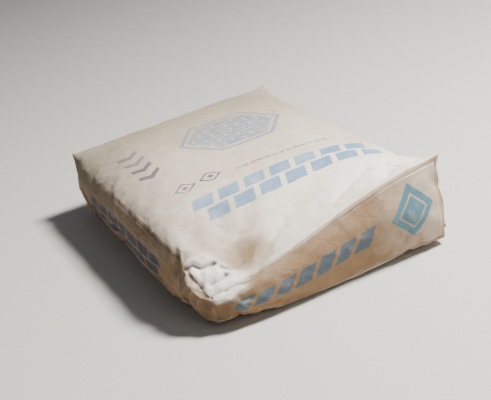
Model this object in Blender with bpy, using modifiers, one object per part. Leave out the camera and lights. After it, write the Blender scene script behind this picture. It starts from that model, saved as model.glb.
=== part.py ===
"""A filled paper valve sack of cement, lying on its broad side.

Metres, +Z up. The origin is on the floor under the middle of the sack, +X runs along the sack
towards its valve end, and +Y is the long side where the valve's mouth opens. The sack is a paper
tube whose two ends are folded flat and closed with a pasted cover sheet. The cement fills it,
and a flattened paper sleeve leads into it through a slit beside one upright fold. The top corner
across from that fold is crushed flat.
"""

import math

import bmesh
import bpy
from mathutils import Matrix, Vector

# The filled sack, over its paper
SACK_LENGTH = 0.660
SACK_WIDTH = 0.432
SACK_THICKNESS = 0.147

# The folded ends: narrower and lower than the swollen middle, and a little off the floor
END_WIDTH = 0.398
END_HEIGHT = 0.110
END_LIFT = 0.009
END_BULGE = 0.0145
END_BULGE_REACH = 0.045
END_FOLD_RADIUS = 0.008
BASE_END_RISE = 0.006

# The upper fold of the valve end slants down to the side of the crushed corner
VALVE_END_LOW = 0.083
VALVE_END_HIGH = 0.140
VALVE_END_BEND = (-0.15, 0.18)

# The swollen middle
SWELL_LENGTH = 0.150
SIDE_RADIUS = 0.056
SIDE_RISE = 0.068
SIDE_TUCK = 0.007
SIDE_TUCK_SHARE = 0.50
CROWN_DROP = 0.017
CROWN_FLAT_SHARE = 0.20
FOOT_RIM = 0.075

# The pinched corners, and the corner that is crushed back to a slanting plane. The upright fold
# below it is pressed in, and a broad dent lies beside it on the long side and on the top.
EAR_REACH = 0.060
EAR_OUT = 0.004
EAR_RISE = 0.003
EAR_LIFT = 0.004
CRUSH_DEPTH = 0.030
CRUSH_FACING = (0.66, -0.42, 0.62)
PRESS_DEPTH = 0.013
PRESS_FACING = (0.70, -0.71, 0.0)
SIDE_DENT = 0.015
SIDE_DENT_REACH = 0.100
TOP_DENT = 0.018
TOP_DENT_REACH = 0.100

# The paper, and the room between two pieces that lie on each other
WALL = 0.0004
COVER_THICKNESS = 0.0003
COVER_MARGIN = 0.010
PIECE_GAP = 0.0003

# The valve's flattened sleeve
SLEEVE_WIDTH = 0.066
SLEEVE_LENGTH = 0.140
SLEEVE_WALL = 0.0004
SLEEVE_BORE = 0.0012
SLEEVE_LIP = 0.007
SLEEVE_SETBACK = 0.004
SLEEVE_FOOT = 0.014

# How finely the paper is divided beyond the lines that its folds need
STEPS_ALONG = 5
STEPS_ACROSS = 4
STEPS_UP = 1

HALF_LENGTH = SACK_LENGTH / 2 - END_BULGE - PIECE_GAP - COVER_THICKNESS
END_TOP = END_LIFT + END_HEIGHT
CORNER_FOLD = END_HEIGHT / 2
COVER_ACROSS = 1.0 - COVER_MARGIN / (END_WIDTH / 2)
COVER_UP = 1.0 - COVER_MARGIN / (END_HEIGHT / 2)
ALMOST = 1e-4
SLEEVE_THICKNESS = 2 * SLEEVE_WALL + SLEEVE_BORE
SLEEVE_X = HALF_LENGTH - END_FOLD_RADIUS - SLEEVE_SETBACK - SLEEVE_THICKNESS / 2
SLEEVE_Z = END_LIFT + SLEEVE_FOOT + SLEEVE_WIDTH / 2

KRAFT = (0.60, 0.50, 0.39, 1.0)
COVER_KRAFT = (0.72, 0.63, 0.52, 1.0)
SLEEVE_KRAFT = (0.50, 0.37, 0.24, 1.0)
CEMENT_GREY = (0.36, 0.36, 0.35, 1.0)


def clear_scene():
    for old in list(bpy.data.objects):
        bpy.data.objects.remove(old, do_unlink=True)


def new_collection(name):
    collection = bpy.data.collections.new(name)
    bpy.context.scene.collection.children.link(collection)
    return collection


def new_object(name, mesh, collection, material=None):
    obj = bpy.data.objects.new(name, mesh)
    collection.objects.link(obj)
    if material:
        mesh.materials.clear()
        mesh.materials.append(material)
    return obj


def new_material(name, colour, roughness):
    material = bpy.data.materials.new(name)
    material.use_nodes = True
    shader = material.node_tree.nodes["Principled BSDF"]
    shader.inputs["Base Color"].default_value = colour
    shader.inputs["Roughness"].default_value = roughness
    shader.inputs["Metallic"].default_value = 0.0
    return material


# The form of the filled sack


def mix(low, high, share):
    return low + (high - low) * share


def closeness(distance, reach):
    """1 at an edge, falling to 0 where the edge is a whole reach away."""
    return max(0.0, 1.0 - distance / reach)


def fold_height(x, across):
    """How high the upper fold of the end on the side of x lies."""
    if x < 0:
        return END_TOP + BASE_END_RISE
    start, end = VALVE_END_BEND
    bend = (across * END_WIDTH / 2 - start) / (end - start)
    bend = max(0.0, min(1.0, bend))
    return mix(VALVE_END_LOW, VALVE_END_HIGH, bend * bend * (3.0 - 2.0 * bend))


def section(x, across):
    """Half width, foot, top and rounding, inwards and upwards, of the sack's section at x."""
    swell = 1.0 - closeness(HALF_LENGTH - abs(x), SWELL_LENGTH) ** 2
    half_width = mix(END_WIDTH, SACK_WIDTH, swell) / 2
    foot = END_LIFT * closeness(HALF_LENGTH - abs(x), FOOT_RIM) ** 2
    top = mix(fold_height(x, across), SACK_THICKNESS, swell)
    inwards = mix(END_FOLD_RADIUS, SIDE_RADIUS, swell)
    upwards = mix(END_FOLD_RADIUS, SIDE_RISE, swell)
    return swell, half_width, foot, top, inwards, upwards


def rounded(point, half_sizes, radii):
    """Moves a point of a box's surface onto the same box with rounded edges."""
    inner = Vector(half - radius for half, radius in zip(half_sizes, radii))
    outward = Vector(
        math.copysign(max(0.0, abs(value) - limit), value) / radius
        for value, limit, radius in zip(point, inner, radii)
    )
    core = Vector(
        math.copysign(min(abs(value), limit), value) for value, limit in zip(point, inner)
    )
    outward.normalize()
    return core + Vector(step * radius for step, radius in zip(outward, radii))


def pressed(point, facing, depth):
    """Presses what stands over a plane back onto it. The plane cuts the corner that is crushed
    at a depth below its tip."""
    corner = Vector((HALF_LENGTH, -END_WIDTH / 2, VALVE_END_LOW))
    facing = Vector(facing).normalized()
    over = (point - corner).dot(facing) + depth
    return point - facing * max(0.0, over)


def dented(point):
    """Presses in the two broad dents beside the crushed corner."""
    beside = Vector((0.55 * HALF_LENGTH, -SACK_WIDTH / 2, 0.40 * SACK_THICKNESS))
    behind = Vector((HALF_LENGTH - CORNER_FOLD, -END_WIDTH / 5, SACK_THICKNESS))
    point.y += SIDE_DENT * closeness((point - beside).length, SIDE_DENT_REACH) ** 2
    point.z -= TOP_DENT * closeness((point - behind).length, TOP_DENT_REACH) ** 2
    return point


def sack_point(along, across, up):
    """Where a point of a box, with sides from -1 to 1, lies on the filled sack."""
    x = along * HALF_LENGTH
    swell, half_width, foot, top, inwards, upwards = section(x, across)
    middle = (foot + top) / 2
    half_height = (top - foot) / 2
    point = rounded(
        (x, across * half_width, up * half_height),
        (HALF_LENGTH, half_width, half_height),
        (END_FOLD_RADIUS, inwards, upwards),
    )
    side_share = min(1.0, abs(point.y) / half_width)
    up_share = (point.z + half_height) / (2 * half_height)
    to_side = max(0.0, side_share - CROWN_FLAT_SHARE) / (1.0 - CROWN_FLAT_SHARE)
    point.z += middle - CROWN_DROP * swell * to_side**2 * up_share
    tuck = SIDE_TUCK * swell * max(0.0, 1.0 - (up_share / SIDE_TUCK_SHARE) ** 2)
    point.y -= math.copysign(tuck * side_share**2, point.y)

    bulge = closeness(HALF_LENGTH - abs(point.x), END_BULGE_REACH) ** 2
    bulge *= (1.0 - side_share**2) * (1.0 - (2.0 * up_share - 1.0) ** 2)
    near_end = closeness(HALF_LENGTH - abs(point.x), EAR_REACH) ** 2
    near_side = closeness(half_width - abs(point.y), EAR_REACH) ** 2
    ear = near_end * near_side
    point.x += math.copysign(END_BULGE * bulge, along)
    point.y += math.copysign(EAR_OUT * ear, across)
    point.z += ear * mix(EAR_LIFT, EAR_RISE, up_share)
    point = pressed(dented(point), CRUSH_FACING, CRUSH_DEPTH)
    return pressed(point, PRESS_FACING, PRESS_DEPTH)


def lines(half_size, stops, steps):
    """Shares from 0 to 1 where a half side of the box is divided: at the stops, which are
    distances in from its edge, and evenly over what is left to the middle."""
    left = half_size - stops[-1]
    distances = list(stops) + [stops[-1] + left * (i + 1) / steps for i in range(steps)]
    return sorted(1.0 - distance / half_size for distance in distances)


CORNER_STOPS = (0.0, END_FOLD_RADIUS, CORNER_FOLD / 4, CORNER_FOLD / 2, CORNER_FOLD)
SIDE_STOPS = (0.0, END_FOLD_RADIUS, COVER_MARGIN, SIDE_RADIUS / 2, SIDE_RADIUS)
UPRIGHT_STOPS = (0.0, END_FOLD_RADIUS, COVER_MARGIN, SIDE_RADIUS / 2)
LINES_ALONG = lines(HALF_LENGTH, CORNER_STOPS, STEPS_ALONG)
LINES_ACROSS = lines(END_WIDTH / 2, SIDE_STOPS, STEPS_ACROSS)
LINES_UP = lines(END_HEIGHT / 2, UPRIGHT_STOPS, STEPS_UP)


def divide(mesh, axis, shares):
    """Divides the box's edges along one axis and moves the new points to the given shares."""
    along_axis = [
        edge
        for edge in mesh.edges
        if abs(edge.verts[0].co[axis] - edge.verts[1].co[axis]) > 1.0
    ]
    count = 2 * (len(shares) - 1)
    bmesh.ops.subdivide_edges(mesh, edges=along_axis, cuts=count - 1, use_grid_fill=True)
    for vertex in mesh.verts:
        place = round((vertex.co[axis] + 1.0) * count / 2) - (len(shares) - 1)
        vertex.co[axis] = math.copysign(shares[abs(place)], place)


def sack_surface(name):
    """The sack's outer face as one closed mesh, and the box shares of each of its points. Its
    faces are triangles, so that the pieces on both sides of the paper bend along the same lines."""
    mesh = bmesh.new()
    bmesh.ops.create_cube(mesh, size=2.0)
    for axis, shares in enumerate((LINES_ALONG, LINES_ACROSS, LINES_UP)):
        divide(mesh, axis, shares)
    shares_of = [tuple(vertex.co) for vertex in mesh.verts]
    for vertex, shares in zip(mesh.verts, shares_of):
        vertex.co = sack_point(*shares)
    bmesh.ops.triangulate(mesh, faces=mesh.faces)
    bmesh.ops.recalc_face_normals(mesh, faces=mesh.faces)
    surface = bpy.data.meshes.new(name)
    mesh.to_mesh(surface)
    mesh.free()
    return surface, shares_of


# Modifiers that the paper pieces share


def swell_by(obj, distance):
    """Moves the whole surface out by a distance, or in if it is negative."""
    modifier = obj.modifiers.new("offset", "DISPLACE")
    modifier.direction = "NORMAL"
    modifier.mid_level = 0.0
    modifier.strength = distance


def thicken(obj, wall):
    """Gives an open or closed surface a wall on its inner side."""
    modifier = obj.modifiers.new("paper", "SOLIDIFY")
    modifier.thickness = wall
    modifier.offset = -1.0


def cut_with(obj, cutter):
    modifier = obj.modifiers.new("cut", "BOOLEAN")
    modifier.operation = "DIFFERENCE"
    modifier.solver = "EXACT"
    modifier.object = cutter


def box_mesh(name, low, high):
    mesh = bmesh.new()
    size = Vector(high) - Vector(low)
    centre = (Vector(high) + Vector(low)) / 2
    fitted = Matrix.Translation(centre) @ Matrix.Diagonal(size).to_4x4()
    bmesh.ops.create_cube(mesh, size=1.0, matrix=fitted)
    made = bpy.data.meshes.new(name)
    mesh.to_mesh(made)
    mesh.free()
    return made


def new_cutter(name, low, high, collection):
    cutter = new_object(name, box_mesh(name, low, high), collection)
    cutter.hide_render = True
    cutter.display_type = "WIRE"
    return cutter


def sleeve_room(start, end):
    """Low and high corner of the valve sleeve's outside between two places across the sack,
    with the room that the pieces around it leave."""
    half_x = SLEEVE_THICKNESS / 2 + PIECE_GAP
    half_z = SLEEVE_WIDTH / 2 + PIECE_GAP
    low = (SLEEVE_X - half_x, start, SLEEVE_Z - half_z)
    high = (SLEEVE_X + half_x, end, SLEEVE_Z + half_z)
    return low, high


# The pieces


def mouth_y():
    """Where the valve's mouth ends, just outside the sack's side."""
    side = sack_point(SLEEVE_X / HALF_LENGTH, 1.0, 0.0).y
    return side + SLEEVE_LIP


def make_paper_sack(surface, parts, cutters, material):
    """The paper tube with its folded ends, open only at the valve's slit."""
    sack = new_object("paper_sack", surface.copy(), parts, material)
    thicken(sack, WALL)
    reach = SLEEVE_LIP + END_FOLD_RADIUS
    slit = sleeve_room(mouth_y() - 2 * reach, mouth_y() + reach)
    cut_with(sack, new_cutter("valve_slit", *slit, cutters))


def make_cement_fill(surface, parts, cutters, material):
    """The cement, packed against the paper and around the valve's sleeve."""
    fill = new_object("cement_fill", surface.copy(), parts, material)
    swell_by(fill, -(WALL + PIECE_GAP))
    room = sleeve_room(mouth_y() - SLEEVE_LENGTH - PIECE_GAP, mouth_y() + SLEEVE_LIP)
    cut_with(fill, new_cutter("sleeve_pocket", *room, cutters))


def make_end_cover(name, end, surface, shares_of, parts, material):
    """The sheet pasted over a folded end, a margin short of the folds on every side."""
    mesh = bmesh.new()
    mesh.from_mesh(surface)
    mesh.verts.ensure_lookup_table()
    uncovered = []
    for face in mesh.faces:
        on_cover = all(
            end * shares_of[vertex.index][0] > 1.0 - ALMOST
            and abs(shares_of[vertex.index][1]) < COVER_ACROSS + ALMOST
            and abs(shares_of[vertex.index][2]) < COVER_UP + ALMOST
            for vertex in face.verts
        )
        if not on_cover:
            uncovered.append(face)
    for vertex in mesh.verts:
        vertex.co += vertex.normal * (PIECE_GAP + COVER_THICKNESS)
    bmesh.ops.delete(mesh, geom=uncovered, context="FACES")
    made = bpy.data.meshes.new(name)
    mesh.to_mesh(made)
    mesh.free()
    cover = new_object(name, made, parts, material)
    thicken(cover, COVER_THICKNESS)


def make_valve_sleeve(parts, material):
    """The valve: a paper tube pressed flat, open at its mouth and inside the cement."""
    half_x = SLEEVE_THICKNESS / 2
    half_z = SLEEVE_WIDTH / 2
    low = (SLEEVE_X - half_x, mouth_y() - SLEEVE_LENGTH, SLEEVE_Z - half_z)
    high = (SLEEVE_X + half_x, mouth_y(), SLEEVE_Z + half_z)
    tube = bmesh.new()
    tube.from_mesh(box_mesh("valve_sleeve_block", low, high))
    open_ends = [face for face in tube.faces if abs(face.normal.y) > 0.5]
    bmesh.ops.delete(tube, geom=open_ends, context="FACES_ONLY")
    made = bpy.data.meshes.new("valve_sleeve")
    tube.to_mesh(made)
    tube.free()
    sleeve = new_object("valve_sleeve", made, parts, material)
    wall = sleeve.modifiers.new("paper", "SOLIDIFY")
    wall.thickness = SLEEVE_WALL
    wall.offset = -1.0
    wall.use_even_offset = True


def main():
    clear_scene()
    parts = new_collection("cement_bag")
    cutters = new_collection("cutters")
    kraft = new_material("kraft_paper", KRAFT, 0.75)
    cover_kraft = new_material("cover_paper", COVER_KRAFT, 0.72)
    sleeve_kraft = new_material("sleeve_paper", SLEEVE_KRAFT, 0.80)
    cement = new_material("cement_powder", CEMENT_GREY, 0.95)

    surface, shares_of = sack_surface("sack_surface")
    make_paper_sack(surface, parts, cutters, kraft)
    make_cement_fill(surface, parts, cutters, cement)
    make_end_cover("valve_end_cover", 1, surface, shares_of, parts, cover_kraft)
    make_end_cover("base_end_cover", -1, surface, shares_of, parts, cover_kraft)
    make_valve_sleeve(parts, sleeve_kraft)


main()
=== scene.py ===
import math

import bmesh
import bpy
import numpy as np
from mathutils import Matrix, Vector


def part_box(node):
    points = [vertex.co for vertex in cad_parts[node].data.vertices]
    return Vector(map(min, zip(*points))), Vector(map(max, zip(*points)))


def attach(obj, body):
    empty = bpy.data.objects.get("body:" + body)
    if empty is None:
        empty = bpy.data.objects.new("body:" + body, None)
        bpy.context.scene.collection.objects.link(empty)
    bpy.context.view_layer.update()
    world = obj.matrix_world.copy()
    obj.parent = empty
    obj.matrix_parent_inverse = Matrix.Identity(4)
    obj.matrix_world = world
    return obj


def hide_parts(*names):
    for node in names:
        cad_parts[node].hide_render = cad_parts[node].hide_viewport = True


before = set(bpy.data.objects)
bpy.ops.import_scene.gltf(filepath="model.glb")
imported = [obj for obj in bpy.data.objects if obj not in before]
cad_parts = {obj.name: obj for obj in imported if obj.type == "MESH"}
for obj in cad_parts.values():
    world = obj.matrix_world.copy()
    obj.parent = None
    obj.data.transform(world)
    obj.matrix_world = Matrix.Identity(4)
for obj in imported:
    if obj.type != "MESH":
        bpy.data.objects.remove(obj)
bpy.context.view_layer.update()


# The sack's paper: a tube of three kraft plies, about 1.03 m round, whose ends are folded to flat
# rectangles and pasted. The cement presses it into a pillow with crowned faces, and the paper that
# has no room left buckles along the folds. The top corner by the valve end is crushed.

PAPER_LENGTH = 0.638
PAPER_WIDTH = 0.400
PAPER_HEIGHT = 0.118
PAPER_SIZES = (PAPER_LENGTH, PAPER_WIDTH, PAPER_HEIGHT)
PAPER_FOLD_ROUND = 0.002
PAPER_SIDE_ROUND = 0.032
PAPER_SWELL_REACH = 0.140
WEAVE_STEP = 0.0075

FILLED_HALF_LENGTH = 0.314
FILLED_END_WIDTH = 0.398
BASE_FOLD_HEIGHT = 0.121
VALVE_FOLD_HEIGHTS = (0.083, 0.142)
VALVE_FOLD_BEND = (-0.15, 0.18)
FILLED_END_LIFT = 0.007
FILLED_MIDDLE = (0.427, 0.147)
FILLED_FOLD_ROUND = (0.008, 0.014)
FILLED_SIDE_ROUND = 0.055
FILLED_CROWN = 0.010
FILLED_END_BULGE = 0.009
FILLED_SWELL_REACH = 0.165
FILLED_FOOT_REACH = 0.075
CROWN_FLAT_SHARE = 0.2
END_BULGE_REACH = 0.045


def blend(low, high, share):
    """A value that lies a share of the way from low to high."""
    return low + (high - low) * share


def falling(distance, reach):
    """1 at an edge, falling evenly to 0 a whole reach away from it."""
    return np.clip(1 - distance / reach, 0, None)


def sack_form(
    place, half, end_width, end_top, middle, lift, fold_round, side_round, crown, bulge, swell_reach
):
    """Where points of a box, with sides from -1 to 1, lie on a sack with swollen faces."""
    x = place[:, 0] * half
    swell = 1 - falling(half - np.abs(x), swell_reach) ** 2
    half_width = blend(end_width, middle[0], swell) / 2
    foot = lift * falling(half - np.abs(x), FILLED_FOOT_REACH) ** 2
    top = blend(end_top, middle[1], swell)
    half_height = (top - foot) / 2
    rounding = blend(fold_round[1], side_round, swell)
    flat = np.stack([x, place[:, 1] * half_width, place[:, 2] * half_height], 1)
    halves = np.stack([np.full_like(x, half), half_width, half_height], 1)
    rounds = np.stack([np.full_like(x, fold_round[0]), rounding, rounding], 1)
    core = np.sign(flat) * np.minimum(np.abs(flat), halves - rounds)
    over = (flat - core) / rounds
    length = np.maximum(np.linalg.norm(over, axis=1), 1e-9)
    points = core + over / length[:, None] * rounds
    side = np.minimum(1, np.abs(points[:, 1]) / half_width)
    up = (points[:, 2] + half_height) / (2 * half_height)
    points[:, 2] += (foot + top) / 2
    sloping = np.clip((side - CROWN_FLAT_SHARE) / (1 - CROWN_FLAT_SHARE), 0, 1)
    points[:, 2] -= crown * swell * sloping**2 * up
    out = falling(half - np.abs(points[:, 0]), END_BULGE_REACH) ** 2
    out = out * (1 - side**2) * (1 - (2 * up - 1) ** 2)
    points[:, 0] += np.sign(place[:, 0]) * bulge * out
    return points


weave = bmesh.new()
bmesh.ops.create_cube(weave, size=2.0)
for axis, size in enumerate(PAPER_SIZES):
    along = [edge for edge in weave.edges if abs(edge.verts[0].co[axis] - edge.verts[1].co[axis]) > 1.0]
    count = 2 * round(size / WEAVE_STEP / 2)
    bmesh.ops.subdivide_edges(weave, edges=along, cuts=count - 1, use_grid_fill=True)
paper_mesh = bpy.data.meshes.new("sack_paper")
weave.to_mesh(paper_mesh)
weave.free()

# For each point its place in the sack's box, from -1 to 1 along each axis. The same place, in metres
# on the flat paper, stays with the point for the print.
share = np.empty(len(paper_mesh.vertices) * 3, np.float32)
paper_mesh.vertices.foreach_get("co", share)
share = share.reshape(-1, 3).astype(float)
sheet_place = paper_mesh.attributes.new("sheet_place", "FLOAT_VECTOR", "POINT")
sheet_place.data.foreach_set("vector", (share * np.array(PAPER_SIZES) / 2).astype(np.float32).ravel())

# The upper fold of the valve end is pressed down on the side of the crushed corner.
bend = share[:, 1] * FILLED_END_WIDTH / 2 - VALVE_FOLD_BEND[0]
bend = np.clip(bend / (VALVE_FOLD_BEND[1] - VALVE_FOLD_BEND[0]), 0, 1)
fold_height = blend(VALVE_FOLD_HEIGHTS[0], VALVE_FOLD_HEIGHTS[1], bend * bend * (3 - 2 * bend))
fold_height = np.where(share[:, 0] > 0, fold_height, BASE_FOLD_HEIGHT)
filled = sack_form(
    share, FILLED_HALF_LENGTH, FILLED_END_WIDTH, fold_height, FILLED_MIDDLE, FILLED_END_LIFT,
    FILLED_FOLD_ROUND, FILLED_SIDE_ROUND, FILLED_CROWN, FILLED_END_BULGE, FILLED_SWELL_REACH,
)

# The top dips behind the crushed corner, and a slanting blow has flattened the corner itself.
DENT_PLACE = np.array((0.262, -0.120))
DENT_DEPTH = 0.034
DENT_REACH = 0.125
CRUSH_FACING = np.array((0.60, -0.27, 0.76))
CRUSH_DEPTH = 0.032
CRUSH_OVERSHOOT = 1.05
CRUSH_REACH = np.array((0.064, 0.125, 0.120))
CRUSH_EDGE = 0.004
crush_corner = np.array((FILLED_HALF_LENGTH, -FILLED_END_WIDTH / 2, VALVE_FOLD_HEIGHTS[0]))
crush_facing = CRUSH_FACING / np.linalg.norm(CRUSH_FACING)
dent = falling(np.linalg.norm(filled[:, :2] - DENT_PLACE, axis=1), DENT_REACH) ** 2
dent *= np.clip(share[:, 2], 0, 1)
filled[:, 2] -= DENT_DEPTH * dent
crush = (filled - crush_corner) @ crush_facing + CRUSH_DEPTH
crush = np.maximum(crush, 0)
crush *= np.clip(4 * falling(np.linalg.norm((filled - crush_corner) / CRUSH_REACH, axis=1), 1), 0, 1)
filled -= crush[:, None] * crush_facing * CRUSH_OVERSHOOT
bared = np.clip(crush / CRUSH_EDGE, 0, 1) * np.clip((share[:, 1] + 1.02) / 0.08, 0, 1)
crumpled_share = paper_mesh.attributes.new("crumpled", "FLOAT", "POINT")
crumpled_share.data.foreach_set("value", bared.astype(np.float32))

# The upright fold below the crushed corner is pressed in to a round edge.
UPRIGHT_PRESS = 0.013
UPRIGHT_ROUND = 0.008
UPRIGHT_SLACK = 0.0004
UPRIGHT_REACH = 0.07
upright_facing = np.array((1.0, -1.0, 0.0)) / math.sqrt(2)
pushed = (filled - crush_corner) @ upright_facing + UPRIGHT_PRESS
pushed = (pushed + np.sqrt(pushed**2 + UPRIGHT_ROUND**2)) / 2 - UPRIGHT_SLACK
pushed[np.abs(filled - crush_corner)[:, :2].max(1) > UPRIGHT_REACH] = 0
pushed = np.maximum(pushed, 0)
filled -= pushed[:, None] * upright_facing

# The lower corners of the ends are rounded off, most of all the one below the crushed corner.
LOWER_CORNERS = (
    (1, -1, 0.013, 0.060),
    (1, 1, 0.004, 0.036),
    (-1, -1, 0.004, 0.036),
    (-1, 1, 0.005, 0.040),
)
rounded_off = np.zeros(len(filled))
for end_way, side_way, push, reach in LOWER_CORNERS:
    corner = np.array((end_way * FILLED_HALF_LENGTH, side_way * FILLED_END_WIDTH / 2, FILLED_END_LIFT))
    nearness = falling(np.linalg.norm(filled - corner, axis=1), reach) ** 1.5
    filled += push * nearness[:, None] * np.array((-end_way, -side_way, 0.7))
    rounded_off = np.maximum(rounded_off, nearness)

# The paper before the cement swells it. Its ends are a little taller than the filled ones, and its
# middle is wider by what its rounder corners save, 4 - pi times the radius. Both forms are a little
# uneven, so that the paper buckles unevenly too.
UNEVENNESS = 0.0004
END_EXTRA = 0.004
CORNER_SAVING = 0.858
chance = np.random.default_rng(11)
filled += chance.normal(0, UNEVENNESS, filled.shape) * (share[:, 2:] > -0.99)
middle_width = PAPER_WIDTH + CORNER_SAVING * (PAPER_SIDE_ROUND - PAPER_FOLD_ROUND)
paper = sack_form(
    share, PAPER_LENGTH / 2, PAPER_WIDTH, fold_height - FILLED_END_LIFT + END_EXTRA,
    (middle_width, PAPER_HEIGHT), 0.0, (PAPER_FOLD_ROUND, PAPER_FOLD_ROUND), PAPER_SIDE_ROUND,
    0.0, 0.0, PAPER_SWELL_REACH,
)
paper += chance.normal(0, UNEVENNESS, paper.shape)

# Cement presses the paper out for about half of the steps, and the paper settles in the rest. What
# the floor, the cement or a blow holds firmly has a strong grip, and the rest is free to buckle.
SETTLING_STEPS = 22
FILLED_BY_STEP = 12
FREE_GRIP = 0.04
FLOOR_GRIP = 1.0
FLOOR_FROM_END = 0.06
CRUSHED_GRIP = 0.8
ROUNDED_GRIP = 0.5
UPRIGHT_GRIP = 0.6
DENT_GRIP = 0.4

paper_mesh.vertices.foreach_set("co", paper.astype(np.float32).ravel())
cloth_sack = bpy.data.objects.new("cloth_sack", paper_mesh.copy())
bpy.context.scene.collection.objects.link(cloth_sack)
cloth_sack.shape_key_add(name="Basis")
filling = cloth_sack.shape_key_add(name="filling")
filling.data.foreach_set("co", filled.astype(np.float32).ravel())
filling.value = 0.0
filling.keyframe_insert("value", frame=1)
filling.value = 1.0
filling.keyframe_insert("value", frame=FILLED_BY_STEP)
on_floor = share[:, 2] < -0.999
on_floor &= np.abs(filled[:, 0]) < FILLED_HALF_LENGTH - FLOOR_FROM_END
on_floor &= np.abs(filled[:, 1]) < FILLED_MIDDLE[0] / 2 - FILLED_SIDE_ROUND
held = cloth_sack.vertex_groups.new(name="held_by_cement")
grip = np.where(crush > 0.001, CRUSHED_GRIP, FREE_GRIP)
grip = np.where(on_floor, FLOOR_GRIP, grip)
grip = np.maximum(grip, np.minimum(ROUNDED_GRIP, 1.2 * rounded_off))
grip = np.maximum(grip, np.minimum(UPRIGHT_GRIP, pushed / 0.004))
grip = np.maximum(grip, DENT_GRIP * dent)
for index, hold in enumerate(grip.tolist()):
    held.add([index], hold, "REPLACE")
cloth = cloth_sack.modifiers.new("filling", "CLOTH")
cloth.settings.quality = 8
cloth.settings.mass = 0.3
cloth.settings.tension_stiffness = 200
cloth.settings.compression_stiffness = 200
cloth.settings.shear_stiffness = 100
cloth.settings.bending_stiffness = 2
cloth.settings.tension_damping = 5
cloth.settings.compression_damping = 5
cloth.settings.shear_damping = 5
cloth.settings.bending_damping = 0.5
cloth.settings.air_damping = 1
cloth.settings.use_pressure = True
cloth.settings.uniform_pressure_force = 1.6
cloth.settings.effector_weights.gravity = 0
cloth.settings.vertex_group_mass = "held_by_cement"
cloth.settings.pin_stiffness = 1
cloth.collision_settings.use_collision = False
cloth.point_cache.frame_end = SETTLING_STEPS + 1
for step in range(1, SETTLING_STEPS + 1):
    bpy.context.scene.frame_set(step)
pressed = cloth_sack.evaluated_get(bpy.context.evaluated_depsgraph_get())
settled = np.empty(len(share) * 3, np.float32)
pressed.data.vertices.foreach_get("co", settled)
settled = settled.reshape(-1, 3).astype(float)
bpy.data.objects.remove(cloth_sack, do_unlink=True)
bpy.context.scene.frame_set(1)
settled[:, 2] = np.maximum(settled[:, 2], 0)
paper_mesh.vertices.foreach_set("co", settled.astype(np.float32).ravel())
paper_mesh.update()
fill_mesh = paper_mesh.copy()
fill_mesh.name = "cement"


def select_alone(piece):
    """Selects one object and no other."""
    bpy.ops.object.select_all(action="DESELECT")
    bpy.context.view_layer.objects.active = piece
    piece.select_set(True)


sack_paper = bpy.data.objects.new("sack_paper", paper_mesh)
bpy.context.scene.collection.objects.link(sack_paper)
select_alone(sack_paper)
finer = sack_paper.modifiers.new("finer", "SUBSURF")
finer.levels = 1
finer.render_levels = 1
finer.boundary_smooth = "PRESERVE_CORNERS"
bpy.ops.object.modifier_apply(modifier="finer")

# The crushed corner is creased more finely than the rest, so its faces are divided once more. The
# paper bunches at the lower rim of the crushed patch, and is smoothed there.
FINER_REACH = 0.090
BUNCHED_REACH = 0.040
BUNCHED_TURNS = 30
PATCH_DEPTH = 0.022
RIM_FROM_CORNER = (-0.012, 0.012, -0.0275)
crush_middle = Vector(crush_corner - crush_facing * PATCH_DEPTH)
rim = crush_corner + RIM_FROM_CORNER
finer_weave = bmesh.new()
finer_weave.from_mesh(sack_paper.data)
crumpled_edges = set()
for face in finer_weave.faces:
    if (face.calc_center_median() - crush_middle).length < FINER_REACH:
        crumpled_edges.update(face.edges)
crumpled_edges = sorted(crumpled_edges, key=lambda edge: edge.index)
bmesh.ops.subdivide_edges(finer_weave, edges=crumpled_edges, cuts=1, use_grid_fill=True)
bunched = [point for point in finer_weave.verts if (point.co - Vector(rim)).length < BUNCHED_REACH]
axes = {"use_axis_x": True, "use_axis_y": True, "use_axis_z": True}
for turn in range(BUNCHED_TURNS):
    bmesh.ops.smooth_vert(finer_weave, verts=bunched, factor=0.5, **axes)
finer_weave.to_mesh(sack_paper.data)
finer_weave.free()


def read_points(mesh, name="position"):
    """An attribute of a mesh's points as rows of numbers."""
    data = mesh.attributes[name].data
    values = np.empty(len(data) * 3, np.float32)
    data.foreach_get("vector", values)
    return values.reshape(-1, 3).astype(float)


def read_normals(mesh):
    """The way that each point of a mesh faces."""
    values = np.empty(len(mesh.vertices) * 3, np.float32)
    mesh.vertex_normals.foreach_get("vector", values)
    return values.reshape(-1, 3).astype(float)


def read_edges(mesh):
    """The two points of each edge of a mesh."""
    ends = np.empty(len(mesh.edges) * 2, np.int32)
    mesh.edges.foreach_get("vertices", ends)
    return ends.reshape(-1, 2)


FULL_TURN = 6.28
WANDER_WAVES = 6
WANDER_WIDTH = 0.0035


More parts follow.
